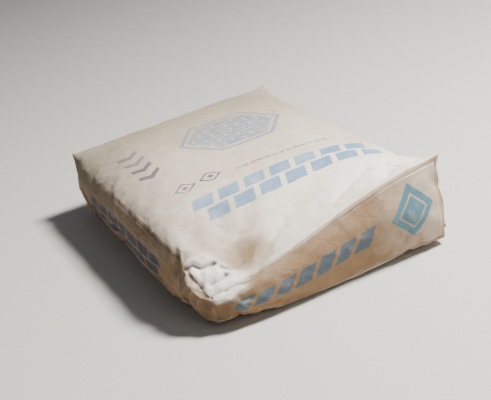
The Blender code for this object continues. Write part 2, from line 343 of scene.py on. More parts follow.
def creased(points, count, shortest, longest, seed):
    """Heights of paper creased in patches along many lines that wander, about 1 high for the longest."""
    luck = np.random.default_rng(seed)
    wander = np.zeros_like(points)
    for wave in range(WANDER_WAVES):
        across = luck.normal(size=3)
        across /= np.linalg.norm(across)
        reach = luck.uniform(0.06, 0.16)
        phase = luck.uniform(0, FULL_TURN)
        swing = np.sin(points @ across * FULL_TURN / reach + phase)[:, None]
        wander += WANDER_WIDTH * swing * luck.normal(size=3)
    heights = np.zeros(len(points))
    for crease in range(count):
        across = luck.normal(size=3)
        across /= np.linalg.norm(across)
        spacing = luck.uniform(shortest, longest)
        turns = (points + wander) @ across / spacing + luck.uniform()
        ramp = 2 * np.abs(turns - np.floor(turns) - 0.5) - 0.5
        patch_across = luck.normal(size=3)
        patch_across /= np.linalg.norm(patch_across)
        patch_reach = luck.uniform(0.12, 0.30)
        patch_phase = luck.uniform(0, FULL_TURN)
        patch = np.sin(points @ patch_across * FULL_TURN / patch_reach + patch_phase)
        heights += ramp * spacing / longest * np.clip(patch + 0.25, 0, 1)
    return heights


def bell(distance, width):
    """1 in the middle of a line or a spot, falling softly to almost 0 two widths away."""
    return np.exp(-((distance / width) ** 2))


paper_mesh = sack_paper.data
points = read_points(paper_mesh)
normals = read_normals(paper_mesh)
place = read_points(paper_mesh, "sheet_place")
from_end = PAPER_LENGTH / 2 - np.abs(place[:, 0])
from_side = PAPER_WIDTH / 2 - np.abs(place[:, 1])
from_broad = PAPER_HEIGHT / 2 - np.abs(place[:, 2])
FACE_MARGIN = 0.0002
on_top = place[:, 2] > PAPER_HEIGHT / 2 - FACE_MARGIN
on_side = from_side < FACE_MARGIN
on_foot = place[:, 2] < FACE_MARGIN - PAPER_HEIGHT / 2

# The paper is rougher by the ends and their corners, roughest in the crushed patch, and smoothest
# where it lies on the floor. Near the patch the cement is drawn further in than elsewhere.
PATCH_REACH = 0.080
PATCH_SINKS = 0.018
CALM_RIM_REACH = 0.026
ROUGH_CORNER_REACH = 0.09
ROUGH_END_REACH = 0.08
ROUGH_SIDE_REACH = 0.20
ROUGH_EVERYWHERE = 0.0003
ROUGHER_ENDS = 0.0003
ROUGHER_CORNERS = 0.0007
ROUGHER_SIDES = 0.0007
ROUGHER_PATCH = 0.0016
SMOOTH_FOOT_SHARE = 0.3

# Each kind of crease: how many, the shortest and longest way between two, and the seed.
CREASES = (12, 0.016, 0.060, 5)
PATCH_CREASES = (5, 0.030, 0.050, 8)
PATCH_FINE_CREASES = (4, 0.014, 0.026, 3)
PATCH_CREASE_HEIGHT = 0.0040
PATCH_FINE_CREASE_HEIGHT = 0.0030
near_crush = falling(np.linalg.norm(points - np.array(crush_middle), axis=1), PATCH_REACH)
sunk = PATCH_SINKS * np.clip(1.6 * near_crush, 0, 1)
near_crush *= np.clip(np.linalg.norm(points - rim, axis=1) / CALM_RIM_REACH, 0.10, 1)
near_corner = falling(from_end, ROUGH_CORNER_REACH) * falling(from_side, ROUGH_CORNER_REACH)
roughly = ROUGH_EVERYWHERE + ROUGHER_ENDS * falling(from_end, ROUGH_END_REACH)
roughly = roughly + ROUGHER_CORNERS * near_corner + ROUGHER_PATCH * near_crush
roughly = roughly + ROUGHER_SIDES * on_side * falling(from_end, ROUGH_SIDE_REACH)
roughly = roughly * np.where(on_foot & (points[:, 2] < 0.002), SMOOTH_FOOT_SHARE, 1.0)
height = roughly * creased(points, *CREASES)
height += near_crush**0.7 * PATCH_CREASE_HEIGHT * creased(points, *PATCH_CREASES)
height += near_crush**1.1 * PATCH_FINE_CREASE_HEIGHT * creased(points, *PATCH_FINE_CREASES)

# The tube's own folds: a crease along the middle of each long side, and a slanting one from each
# corner of an end to it, where the flat tube was opened to fold the end.
SLANT_FOLD_DEPTH = 0.0010
SLANT_FOLD_WIDTH = 0.0035
MIDDLE_FOLD_HEIGHT = 0.0006
MIDDLE_FOLD_WIDTH = 0.004
apex = PAPER_HEIGHT / 2
slant = (from_end + np.abs(place[:, 2]) - apex) / math.sqrt(2)
height -= on_side * (from_end < apex) * SLANT_FOLD_DEPTH * bell(slant, SLANT_FOLD_WIDTH)
middle_fold = bell(place[:, 2], MIDDLE_FOLD_WIDTH) * (1 - falling(from_end, 0.02))
height += on_side * MIDDLE_FOLD_HEIGHT * middle_fold

# The crushed patch has four deep folds and three bulges between them. Each fold has a depth, a width
# and the stops of its line, each bulge a height, a width and a middle. They are placed from the middle
# of the patch's lower rim, across to the valve and up the slope.
CRUMPLE_THICKNESS = 0.016
CRUMPLE_FOLDS = (
    (0.0050, 0.0036, (-0.044, 0.040), (-0.032, 0.050), (-0.018, 0.055), (-0.008, 0.049), (0.012, 0.054)),
    (0.0038, 0.0038, (-0.023, 0.040), (-0.018, 0.029), (-0.012, 0.021)),
    (0.0036, 0.0032, (0.004, 0.022), (0.014, 0.025), (0.026, 0.033)),
    (0.0030, 0.0030, (0.020, 0.046), (0.034, 0.040), (0.052, 0.052)),
)
CRUMPLE_BULGES = (
    (0.0040, 0.012, (0.000, 0.036)),
    (0.0030, 0.010, (0.020, 0.010)),
    (0.0025, 0.009, (-0.026, 0.024)),
)
crumple_across = np.cross(np.array((0.0, 0.0, 1.0)), crush_facing)
crumple_across /= np.linalg.norm(crumple_across)
crumple_up = np.cross(crush_facing, crumple_across)
on_crumple = bell((points - rim) @ crush_facing, CRUMPLE_THICKNESS)
flat_place = np.stack([(points - rim) @ crumple_across, (points - rim) @ crumple_up], 1)


def from_line(places, start, end):
    """How far places lie from a line between two points."""
    start = np.array(start)
    along = np.array(end) - start
    run = np.clip((places - start) @ along / (along @ along), 0, 1)
    return np.linalg.norm(places - start - run[:, None] * along, axis=1)


for depth, width, *stops in CRUMPLE_FOLDS:
    distance = np.min([from_line(flat_place, *pair) for pair in zip(stops, stops[1:])], axis=0)
    height -= depth * bell(distance, width) * on_crumple
for rise, width, middle in CRUMPLE_BULGES:
    distance = np.linalg.norm(flat_place - np.array(middle), axis=1)
    height += rise * bell(distance, width) * on_crumple

# The top is dented in one spot near the crushed corner, and painted browner there: partly a stain,
# partly painted shade of the dent.
SMALL_DENT_SPOT = (0.284, -0.110)
SMALL_DENT_REACH = (0.020, 0.030)
SMALL_DENT_DEPTH = 0.0022
from_spot = np.linalg.norm((place[:, :2] - SMALL_DENT_SPOT) / SMALL_DENT_REACH, axis=1)
height -= SMALL_DENT_DEPTH * bell(from_spot, 1) * on_top
points += normals * height[:, None]

# The corners of each end stand out as ears, where the folded paper has nothing behind it: those at
# the top more than those at the foot, and the crushed one not at all.
EAR_REACH = 0.020
EAR_SIZE = (0.0050, 0.0060, 0.0060)
EAR_AT_FOOT = 0.15
EAR_ON_CRUSHED_SIDE = 0.5
ear = falling(from_end, EAR_REACH) * falling(from_side, EAR_REACH) * falling(from_broad, EAR_REACH)
ear = ear**1.6 * np.where(place[:, 2] > 0, 1.0, EAR_AT_FOOT)
ear = ear * np.where(place[:, 1] < 0, EAR_ON_CRUSHED_SIDE, 1.0)
ear = ear * np.where((place[:, 0] > 0) & (place[:, 1] < 0), 0.0, 1.0)
points += ear[:, None] * np.sign(place) * EAR_SIZE
points[:, 2] = np.maximum(points[:, 2], 0)
paper_mesh.vertices.foreach_set("co", points.astype(np.float32).ravel())
paper_mesh.update()

# The cement keeps a small gap to the paper, and sinks away from the patch towards a point inside.
CEMENT_GAP = 0.0012
CEMENT_HEART = (0.210, -0.100, 0.035)
inwards = np.array(CEMENT_HEART) - points
inwards /= np.linalg.norm(inwards, axis=1)[:, None]
fill_points = (points - CEMENT_GAP * normals + sunk[:, None] * inwards)[: len(settled)]

RIDGE_HEIGHT = 0.0003


def write_ridges(mesh):
    """Keeps for each point how far it stands out from its neighbours: 0 in a crease, 1 on a ridge."""
    points = read_points(mesh)
    normals = read_normals(mesh)
    ends = read_edges(mesh)
    around = np.bincount(ends.ravel(), minlength=len(points))[:, None]
    middle = np.zeros_like(points)
    for first, second in ((0, 1), (1, 0)):
        for axis in range(3):
            middle[:, axis] += np.bincount(ends[:, first], points[ends[:, second], axis], len(points))
    stand = ((points - middle / around) * normals).sum(1)
    for smoothing in range(2):
        total = np.bincount(ends[:, 0], stand[ends[:, 1]], len(points))
        total += np.bincount(ends[:, 1], stand[ends[:, 0]], len(points))
        stand = 0.5 * stand + 0.5 * total / around[:, 0]
    ridge = np.clip(0.5 + stand / RIDGE_HEIGHT, 0, 1)
    kept = mesh.attributes.new("ridge", "FLOAT", "POINT")
    kept.data.foreach_set("value", ridge.astype(np.float32))


write_ridges(paper_mesh)
paper_mesh.shade_smooth()


class Shade:
    """A socket of a material's nodes. Sums and products of it add Math nodes to the same material."""

    def __init__(self, socket):
        self.socket = socket

    @staticmethod
    def node(tree, kind, settings, sockets, output=0):
        """Adds a node of a kind, with its settings, and its sockets' values or links."""
        made = tree.nodes.new(kind)
        for name, setting in settings.items():
            if name == "stops":
                ramp = made.color_ramp
                while len(ramp.elements) < len(setting):
                    ramp.elements.new(0.5)
                for element, (position, tone) in zip(ramp.elements, setting):
                    element.position = position
                    element.color = tone
            else:
                setattr(made, name, setting)
        for name, given in sockets.items():
            if isinstance(given, Shade):
                tree.links.new(given.socket, made.inputs[name])
            else:
                made.inputs[name].default_value = given
        return Shade(made.outputs[output])

    def math(self, operation, *values):
        given = dict(enumerate(values))
        return Shade.node(self.socket.id_data, "ShaderNodeMath", {"operation": operation}, given)

    def __add__(self, other):
        return self.math("ADD", self, other)

    __radd__ = __add__

    def __sub__(self, other):
        return self.math("SUBTRACT", self, other)

    def __rsub__(self, other):
        return self.math("SUBTRACT", other, self)

    def __mul__(self, other):
        return self.math("MULTIPLY", self, other)

    __rmul__ = __mul__

    def __truediv__(self, other):
        return self.math("DIVIDE", self, other)

    def __abs__(self):
        return self.math("ABSOLUTE", self)

    def __mod__(self, other):
        return self.math("FLOORED_MODULO", self, other)

    def __or__(self, other):
        return self.math("MAXIMUM", self, other)

    def floor(self):
        return self.math("FLOOR", self)

    def within(self, low, high):
        """1 between two lines, 0 outside them."""
        return self.math("COMPARE", self, (low + high) / 2, (high - low) / 2)

    def rising(self, low, high):
        """0 up to low, 1 from high, even between them. With high below low it falls."""
        sockets = {"Value": self, "From Min": low, "From Max": high}
        return Shade.node(self.socket.id_data, "ShaderNodeMapRange", {"clamp": True}, sockets)


def new_material(name):
    """A material without nodes, its node tree, and where its places lie on the piece."""
    material = bpy.data.materials.new(name)
    material.use_nodes = True
    tree = material.node_tree
    tree.nodes.clear()
    return material, tree, Shade.node(tree, "ShaderNodeTexCoord", {}, {}, "Object")


def end_material(tree, colour, roughness, gloss, relief):
    """A material's last nodes. The relief is in metres."""
    bump = Shade.node(tree, "ShaderNodeBump", {}, {"Strength": 1.0, "Distance": 1.0, "Height": relief})
    sockets = {"Base Color": colour, "Roughness": roughness, "Normal": bump, "Specular IOR Level": gloss}
    shader = Shade.node(tree, "ShaderNodeBsdfPrincipled", {}, sockets)
    output = tree.nodes.new("ShaderNodeOutputMaterial")
    tree.links.new(shader.socket, output.inputs["Surface"])


def mixed(tree, factor, first, second):
    """One colour over another, as far as the factor says."""
    sockets = {"Factor": factor, 6: first, 7: second}
    return Shade.node(tree, "ShaderNodeMix", {"data_type": "RGBA"}, sockets, 2)


def blotches(tree, where, scale, detail=3.0, rough=0.5, warp=0.0):
    """Soft noise from 0 to 1 over a surface."""
    sockets = {"Vector": where, "Scale": scale, "Detail": detail, "Roughness": rough, "Distortion": warp}
    return Shade.node(tree, "ShaderNodeTexNoise", {}, sockets)


SHEET_MARGIN = 0.0078


def edge_shadow_and_grime_line(at):
    """1 along the border of an end's pasted sheet in its upper half, fading within 1.5 mm to both sides.
    A dark line is drawn with it, partly grime and partly painted shadow of the sheet's edge.
    """
    x, y, z = at
    outer = (abs(y) - (PAPER_WIDTH - PAPER_HEIGHT) / 2) | abs(z)
    line = abs(outer - (PAPER_HEIGHT / 2 - SHEET_MARGIN)).rising(0.0015, 0.0004)
    return line * z.rising(0.0, 0.040)


BLEACHED_PAPER = (0.560, 0.488, 0.405, 1.0)
CLEAN_PAPER_AND_HIGHLIGHT = (0.900, 0.870, 0.810, 1.0)
PLAIN_KRAFT = (0.232, 0.140, 0.070, 1.0)
TAN_AND_PAINTED_SHADE = (0.125, 0.070, 0.029, 1.0)
ORANGE_STAIN = (0.360, 0.190, 0.080, 1.0)
CEMENT_DUST = (0.680, 0.650, 0.600, 1.0)
DIRT_AND_SHADE_BROWN = (0.120, 0.080, 0.050, 1.0)
DARK_GREY_BROWN = (0.235, 0.200, 0.145, 1.0)
EDGE_MARGIN = 0.0006


def paper_finish(name, draw_print, brown_amount):
    """Dusty printed kraft paper. draw_print returns pairs of an ink's mask and its colour, and
    brown_amount how far each place is brown instead of the bleached outer ply, as plain kraft and in
    places as painted shade."""
    material, tree, where = new_material(name)
    sheet = Shade.node(tree, "ShaderNodeAttribute", {"attribute_name": "sheet_place"}, {}, "Vector")
    ridge = Shade.node(tree, "ShaderNodeAttribute", {"attribute_name": "ridge"}, {}, "Fac")
    crumpled = Shade.node(tree, "ShaderNodeAttribute", {"attribute_name": "crumpled"}, {}, "Fac")
    facing = Shade.node(tree, "ShaderNodeNewGeometry", {}, {}, "Normal")
    facing_up = Shade.node(tree, "ShaderNodeSeparateXYZ", {}, {"Vector": facing}, "Z")
    across = [Shade.node(tree, "ShaderNodeSeparateXYZ", {}, {"Vector": sheet}, axis) for axis in "XYZ"]

    # The ink bleeds unevenly into the paper, so the print is drawn at slightly shifted places.
    bleed = Shade.node(tree, "ShaderNodeTexNoise", {}, {"Vector": sheet, "Scale": 260.0}, "Color")
    settings = {"operation": "SUBTRACT"}
    bleed = Shade.node(tree, "ShaderNodeVectorMath", settings, {0: bleed, 1: (0.5, 0.5, 0.5)})
    bleed = Shade.node(tree, "ShaderNodeVectorMath", {"operation": "SCALE"}, {0: bleed, "Scale": 0.0022})
    shifted = Shade.node(tree, "ShaderNodeVectorMath", {"operation": "ADD"}, {0: sheet, 1: bleed})
    inked = [Shade.node(tree, "ShaderNodeSeparateXYZ", {}, {"Vector": shifted}, axis) for axis in "XYZ"]

    sockets = {"Vector": sheet, "Scale": (1.0, 3.2, 3.2)}
    stretched = Shade.node(tree, "ShaderNodeMapping", {"vector_type": "POINT"}, sockets)
    cloud = blotches(tree, where, 7.0, 4.0, 0.6)
    mottle = blotches(tree, where, 38.0, 5.0, 0.65, 0.6)
    fibre = blotches(tree, stretched, 420.0, 3.0, 0.7)
    scuff = blotches(tree, where, 170.0, 6.0, 0.72, 0.8)

    # The bleached outer ply, with brown kraft where it shows through and brown painted shade in places,
    # and stains towards the foot.
    brown = brown_amount(across) + (cloud - 0.52) * 0.5 + (mottle - 0.5) * 0.45
    corner = (PAPER_LENGTH / 2 - across[0]) + (PAPER_WIDTH / 2 + across[1])
    corner = corner.rising(0.075, 0.030) * (across[2] + 0.3 * cloud).rising(0.200, 0.160)
    brown = (brown + corner * 0.35) * (1.0 - 0.92 * crumpled)
    brown = brown.rising(0.0, 1.0)
    # Whiter paper on upward faces by the valve end and over the crushed patch: partly clean paper,
    # partly a painted highlight.
    clean_and_highlit = across[0].rising(0.12, 0.28) * across[1].rising(-0.13, 0.03)
    clean_and_highlit = clean_and_highlit * facing_up.rising(0.3, 0.9) | crumpled
    outer_ply = mixed(tree, clean_and_highlit * 0.90, BLEACHED_PAPER, CLEAN_PAPER_AND_HIGHLIGHT)
    paper = mixed(tree, brown, outer_ply, PLAIN_KRAFT)
    paper = mixed(tree, fibre.rising(0.35, 0.75) * 0.16, paper, PLAIN_KRAFT)
    low_end = 1.0 - (across[2] / PAPER_HEIGHT + 0.5)
    stain = blotches(tree, where, 17.0, 4.0, 0.55, 1.2).rising(0.50, 0.66)
    stain = stain * (0.12 + 0.38 * low_end.rising(0.1, 0.9))
    paper = mixed(tree, stain * (1.0 - crumpled), paper, ORANGE_STAIN)
    # A deeper tan round the lower corner below the crushed one: partly the paper's own tan, partly
    # painted shade.
    paper = mixed(tree, corner * (1.0 - crumpled) * 0.60, paper, TAN_AND_PAINTED_SHADE)

    # The print, worn off along the ridges and gone from the crushed patch.
    worn = scuff.rising(0.56, 0.76) * 0.30 + ridge.rising(0.70, 1.00) * 0.30
    kept = (1.0 - worn).rising(0.0, 0.9) * (0.90 + (fibre - 0.5) * 0.5).rising(0.0, 1.0)
    kept = kept * (1.0 - crumpled)
    for mask, ink in draw_print(inked):
        paper = mixed(tree, mask * kept, paper, ink)

    # Brown in the creases, partly dirt and partly painted shade, specks of dirt, and a dark line along
    # the end sheets, partly grime and partly painted shadow of their edge. Cement dust on the ridges and
    # on top, and darker grey-brown over the half away from the valve and on the top by the crushed
    # corner.
    # Creases are painted dark brown: partly dirt, partly painted shade, most of all in the crushed
    # patch.
    crease_shade_and_specks = (1.0 - ridge).rising(0.66, 0.95) * (0.30 + 0.40 * crumpled)
    specks = blotches(tree, where, 330.0, 2.0, 0.5).rising(0.72, 0.80) * 0.45
    crease_shade_and_specks = crease_shade_and_specks | specks * mottle.rising(0.45, 0.60)
    paper = mixed(tree, crease_shade_and_specks, paper, DIRT_AND_SHADE_BROWN)
    dust = blotches(tree, where, 13.0, 6.0, 0.68, 0.4).rising(0.42, 0.70)
    dust = dust * (0.03 + 0.26 * facing_up.rising(0.1, 0.9)) + ridge.rising(0.70, 1.00) * 0.10
    # The crushed patch is painted paler: partly cement dust, partly a painted highlight.
    dust = dust + crumpled * 0.25
    paper = mixed(tree, dust.rising(0.0, 1.0), paper, CEMENT_DUST)
    # Darker grey-brown over the half away from the valve and on the top by the crushed corner, mostly on
    # upward faces.
    darker_part = across[0].rising(0.10, 0.24) * across[1].rising(-0.02, -0.14) * (1.0 - crumpled)
    darker_grey = across[0].rising(0.09, -0.22) * 0.78 + cloud.rising(0.45, 0.70) * 0.10
    darker_grey = darker_grey + darker_part * 0.28
    paper = mixed(tree, darker_grey * facing_up.rising(-0.2, 0.6), paper, DARK_GREY_BROWN)
    # A dark line along the border of the end sheets: partly grime, partly painted shadow of their edge.
    border = (1.0 - abs(across[0]).within(0.0, PAPER_LENGTH / 2 - EDGE_MARGIN)) * edge_shadow_and_grime_line(across)
    paper = mixed(tree, border * (0.25 + cloud.rising(0.40, 0.62) * 0.6), paper, DIRT_AND_SHADE_BROWN)

    # Fine wrinkles along bent lines, and the paper's own grain.
    sockets = {"Vector": where, "Scale": 14.0, "Detail": 3.0}
    drift = Shade.node(tree, "ShaderNodeTexNoise", {}, sockets, "Color")
    sockets = {"Factor": 0.06, 4: where, 5: drift}
    drifted = Shade.node(tree, "ShaderNodeMix", {"data_type": "VECTOR"}, sockets, 1)
    settings = {"feature": "DISTANCE_TO_EDGE"}
    wrinkles = Shade.node(tree, "ShaderNodeTexVoronoi", settings, {"Vector": drifted, "Scale": 34.0})
    wrinkles = wrinkles.rising(0.0, 0.10) * blotches(tree, where, 9.0, 2.0).rising(0.42, 0.60)
    relief = wrinkles * 0.00022 + mottle * 0.0006 + scuff * 0.00022 + fibre * 0.00006
    roughness = 0.66 + 0.16 * mottle + dust * 0.12
    end_material(tree, paper, roughness, 0.30, relief)
    return material


LIGHT_BLUE_INK = (0.088, 0.190, 0.340, 1.0)
DARK_BLUE_INK = (0.026, 0.038, 0.072, 1.0)
PRINT_MARGIN = 0.0030
BLOCK_START = 0.135
BLOCK_COURSE = 0.034
BLOCK_STEP = 0.042
BRICK_COURSE = 0.0155
BRICK_STEP = 0.034
SIDE_BRICK_STEP = 0.052
DENT_BROWN_REACH = (0.026, 0.034)


def sack_print(at):
    """The masks of what is printed on the tube, from places on the flat paper in metres."""
    x, y, z = at
    on_top = z.within(PAPER_HEIGHT / 2 - PRINT_MARGIN, 1.0)
    on_foot = z.within(-1.0, PRINT_MARGIN - PAPER_HEIGHT / 2)
    on_side = abs(y).within(PAPER_WIDTH / 2 - PRINT_MARGIN, 1.0) * (1.0 - on_top) * (1.0 - on_foot)
    on_broad = on_top | on_foot

    # Two courses of slanting blocks by the valve end.
    course = ((x - BLOCK_START) / BLOCK_COURSE).floor()
    lean = y + x * 0.30 + course * (BLOCK_STEP / 2)
    blocks = (lean % BLOCK_STEP).within(0.003, 0.036)
    blocks = blocks * ((x - BLOCK_START) % BLOCK_COURSE).within(0.0, 0.0285)
    blocks = blocks * x.within(BLOCK_START, 0.2030) * on_broad
    blocks = blocks * (lean - course * BLOCK_STEP).within(-2 * BLOCK_STEP, 0.2099)

    # A hexagon of bricks in a frame.
    hex_x = abs(x + 0.080)
    hex_y = abs(y - 0.030)
    reach = (hex_x * 0.5 + hex_y * 0.866) | hex_x
    row = (x / BRICK_COURSE).floor()
    brick = (y + row * (BRICK_STEP / 2)) % BRICK_STEP
    bricks = brick.within(0.0015, 0.0325) * (x % BRICK_COURSE).within(0.0012, 0.0143)
    emblem = (reach.within(0.072, 0.079) | bricks * reach.within(0.0, 0.066)) * on_broad

    # A row of chevrons, two diamonds, and two rules with dashes between them.
    fold_y = abs(y + 0.132)
    chevron = ((x + fold_y * 0.9 + 0.3) % 0.040).within(0.0, 0.015)
    chevrons = chevron * fold_y.within(0.0, 0.018) * x.within(-0.158, 0.0) * on_broad
    diamond = abs(x - 0.088) + abs(abs(y + 0.092) - 0.021)
    diamonds = (diamond.within(0.0, 0.006) | diamond.within(0.014, 0.0185)) * on_broad
    rule = abs(x - 0.098).within(0.0028, 0.0042) * y.within(-0.035, 0.125)
    dashes = ((y + 0.2) % 0.012).within(0.0, 0.008) * abs(x - 0.098).within(0.0, 0.0014)
    rules = (rule | dashes * y.within(-0.035, 0.125)) * on_broad

    # A long box with two lines along it, by the other end.
    box_x = abs(x + 0.246)
    box_y = abs(y - 0.010)
    box_line = box_x.within(0.0300, 0.0314) * box_y.within(0.0, 0.150)
    box_line = box_line | box_y.within(0.1486, 0.150) * box_x.within(0.0, 0.0314)
    box_line = box_line | box_x.within(0.0095, 0.0106) * box_y.within(0.0, 0.135)
    box_line = box_line * on_broad

    # On each long side a frame, two thin lines and two courses of bricks.
    side_z = abs(z)
    frame_line = side_z.within(0.0492, 0.0526) * x.within(-0.262, 0.246)
    ends = (x.within(-0.262, -0.2598) | x.within(0.2438, 0.246)) * side_z.within(0.0, 0.0522)
    along = x + z.within(-1.0, 0.0) * (SIDE_BRICK_STEP / 2)
    side_course = ((along + 0.5) % SIDE_BRICK_STEP).within(0.002, 0.049) * side_z.within(0.0015, 0.019)
    side_course = side_course * along.within(-0.188, 0.1755)
    thin = side_z.within(0.0290, 0.0300) * x.within(-0.235, 0.215)
    side_print = (frame_line | ends | side_course | thin) * on_side

    light = blocks | emblem
    dark = chevrons | diamonds | rules | box_line | side_print
    return [(light, LIGHT_BLUE_INK), (dark, DARK_BLUE_INK)]


def sack_brown(at):
    """Plain kraft shows at the corner folds of the long sides and over the ends. The long sides are
    brown all over, partly kraft and partly painted shade. The dented spot on top is brown too, partly a
    stain and partly painted shade of the dent.
    """
    x, y, z = at
    side = abs(y).within(PAPER_WIDTH / 2 - EDGE_MARGIN, 1.0)
    end = abs(x).within(PAPER_LENGTH / 2 - EDGE_MARGIN, 1.0)
    slanting = (PAPER_LENGTH / 2 - abs(x)) + abs(z)
    folds = side * slanting.rising(PAPER_HEIGHT / 2 + 0.002, PAPER_HEIGHT / 2 - 0.002)
    foot = end * z.rising(0.0, -0.050)
    # The dented spot is browner: partly a stain, partly painted shade of the dent.
    dent_x = (x - SMALL_DENT_SPOT[0]) / DENT_BROWN_REACH[0]
    dent_y = (y - SMALL_DENT_SPOT[1]) / DENT_BROWN_REACH[1]
    dent_stain_and_shade = (dent_x * dent_x + dent_y * dent_y).rising(1.9, 0.1)
    dent_stain_and_shade = dent_stain_and_shade * z.within(PAPER_HEIGHT / 2 - EDGE_MARGIN, 1.0)
    # The long sides are brown all over: partly kraft, partly painted shade.
    return 0.08 + folds * 0.40 + end * 0.70 + foot * 0.25 + side * 0.86 + dent_stain_and_shade * 0.92


sack_paper.data.materials.append(paper_finish("printed_kraft_paper", sack_print, sack_brown))
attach(sack_paper, "root")
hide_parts("paper_sack")


# The cement: a fine grey powder that was blown in through the valve and has packed against the
# paper all round. The valve's tube reaches into it, and its mouth lies by the paper of a long side.

TUBE_LIP = 0.003
NEAR_MOUTH = 0.006
POCKET_SLACK = 0.0008
CEMENT_FLOOR_GAP = 0.0008
tube_low, tube_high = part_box("valve_sleeve")
beside_tube = (np.abs(points[:, 0] - tube_high.x) < NEAR_MOUTH) & (points[:, 1] > PAPER_WIDTH / 4)
beside_tube &= (points[:, 2] > tube_low.z) & (points[:, 2] < tube_high.z)
tube_high.y = points[beside_tube, 1].mean() + TUBE_LIP
tube_middle = (tube_low + tube_high) / 2

fill_points[:, 2] = np.maximum(fill_points[:, 2], CEMENT_FLOOR_GAP)
fill_mesh.vertices.foreach_set("co", fill_points.astype(np.float32).ravel())
fill_mesh.update()
cement = bpy.data.objects.new("cement", fill_mesh)
bpy.context.scene.collection.objects.link(cement)
bpy.ops.object.select_all(action="DESELECT")
bpy.ops.mesh.primitive_cube_add(size=1.0, location=tube_middle)
pocket = bpy.context.object
pocket.scale = tube_high - tube_low
pocket.scale += Vector((POCKET_SLACK, POCKET_SLACK, POCKET_SLACK))
select_alone(cement)
cut = cement.modifiers.new("pocket", "BOOLEAN")
cut.operation = "DIFFERENCE"
cut.solver = "EXACT"
cut.object = pocket
bpy.ops.object.modifier_apply(modifier="pocket")
bpy.data.objects.remove(pocket, do_unlink=True)
cement.data.shade_smooth()

DARK_CEMENT = (0.20, 0.20, 0.195, 1.0)
PALE_CEMENT = (0.36, 0.355, 0.34, 1.0)


def cement_powder():
    """Grey powder in soft lumps, with a fine grain."""
    material, tree, where = new_material("cement_powder")
    grain = blotches(tree, where, 700.0, 3.0, 0.7)
    lump = blotches(tree, where, 45.0, 5.0, 0.6)
    settings = {"stops": [(0.30, DARK_CEMENT), (0.70, PALE_CEMENT)]}
    sockets = {"Fac": lump * 0.7 + grain * 0.3}
    grey = Shade.node(tree, "ShaderNodeValToRGB", settings, sockets, "Color")
    end_material(tree, grey, 0.90 + grain * 0.08, 0.2, lump * 0.0012 + grain * 0.0002)
    return material


cement.data.materials.clear()
cement.data.materials.append(cement_powder())
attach(cement, "root")
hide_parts("cement_fill")


# The end sheets: one sheet of kraft paper pasted over the folded flaps of each end, some 7 mm short
# of the folds. Its edge lies a little wavy, and a dark line is painted along it: partly grime, partly
# painted shadow of the edge.

SHEET_THICKNESS = 0.0005
SHEET_CLEARANCE = 0.0003
SHEET_SHORT = 0.0070
SHEET_CORNER = 0.0090
SHEET_FLOOR_GAP = 0.0008
EDGE_LIFT = 0.0002
EDGE_SWAY = 0.0008
EDGE_FINE_SWAY = 0.0005
SLATE_INK = (0.060, 0.098, 0.135, 1.0)
TEAL_INK = (0.045, 0.170, 0.240, 1.0)


def end_sheet(name, end):
    """The pasted sheet of one end, lifted off the sack's own paper."""
    sheet = bmesh.new()
    sheet.from_mesh(sack_paper.data)
    layer = sheet.verts.layers.float_vector["sheet_place"]
    outside = []
    for face in sheet.faces:
        covered = all(
            vertex[layer].x * end > PAPER_LENGTH / 2 - FACE_MARGIN
            and abs(vertex[layer].y) < PAPER_WIDTH / 2 - SHEET_SHORT
            and abs(vertex[layer].z) < PAPER_HEIGHT / 2 - SHEET_SHORT
            for vertex in face.verts
        )
        if not covered:
            outside.append(face)
    bmesh.ops.delete(sheet, geom=outside, context="FACES")
    sheet.normal_update()
    for vertex in sheet.verts:
        lift = SHEET_CLEARANCE + SHEET_THICKNESS
        if vertex.is_boundary:
            run = vertex.co.y * 55 + vertex.co.z * 70
            lift += EDGE_LIFT + EDGE_LIFT * math.sin(run * 1.7)
            sway = EDGE_SWAY * math.sin(run) + EDGE_FINE_SWAY * math.sin(run * 2.3 + 1)
            if abs(vertex[layer].z) > PAPER_HEIGHT / 2 - SHEET_CORNER:
                vertex.co.z += sway
            else:
                vertex.co.y += sway
        vertex.co += vertex.normal * lift
        vertex.co.z = max(vertex.co.z, SHEET_FLOOR_GAP)
    mesh = bpy.data.meshes.new(name)
    sheet.to_mesh(mesh)
    sheet.free()
    piece = bpy.data.objects.new(name, mesh)
    bpy.context.scene.collection.objects.link(piece)
    select_alone(piece)
    wall = piece.modifiers.new("paper", "SOLIDIFY")
    wall.thickness = SHEET_THICKNESS
    wall.offset = -1.0
    bpy.ops.object.modifier_apply(modifier="paper")
    piece.data.shade_smooth()
    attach(piece, "root")
    return piece


def end_print(at):
    """Slanted blocks and a diamond on an end sheet."""
    x, y, z = at
    lean = y - z * 0.55
    blocks = ((lean + 0.4) % 0.034).within(0.003, 0.029) * z.within(-0.017, 0.013)
    blocks = blocks * lean.within(-0.1605, 0.0785)
    from_middle = abs(y - 0.142) * 0.86 + abs(z - 0.003) * 0.84
    diamond = from_middle.within(0.0, 0.0330) * (1.0 - from_middle.within(0.0190, 0.0222))
    return [(blocks, SLATE_INK), (diamond, TEAL_INK)]


def end_brown(at):
    """Plain kraft shows nearly all over an end sheet, but for the part by the diamond. It is browner
    towards -y and paler towards +y, partly in the paper and partly as painted shade and light.
    """
    x, y, z = at
    edge = (abs(z) | (abs(y) - (PAPER_WIDTH - PAPER_HEIGHT) / 2)).rising(0.040, 0.047)
    low = z.rising(0.02, -0.05)
    # Browner towards -y, paler towards +y: partly the paper's own colour, partly painted shade and
    # light.
    darker_part = y.rising(0.06, -0.16)
    bleached = y.rising(0.05, 0.17)
    return 1.06 + edge * 0.08 + low * 0.14 + darker_part * 0.12 - bleached * 0.80


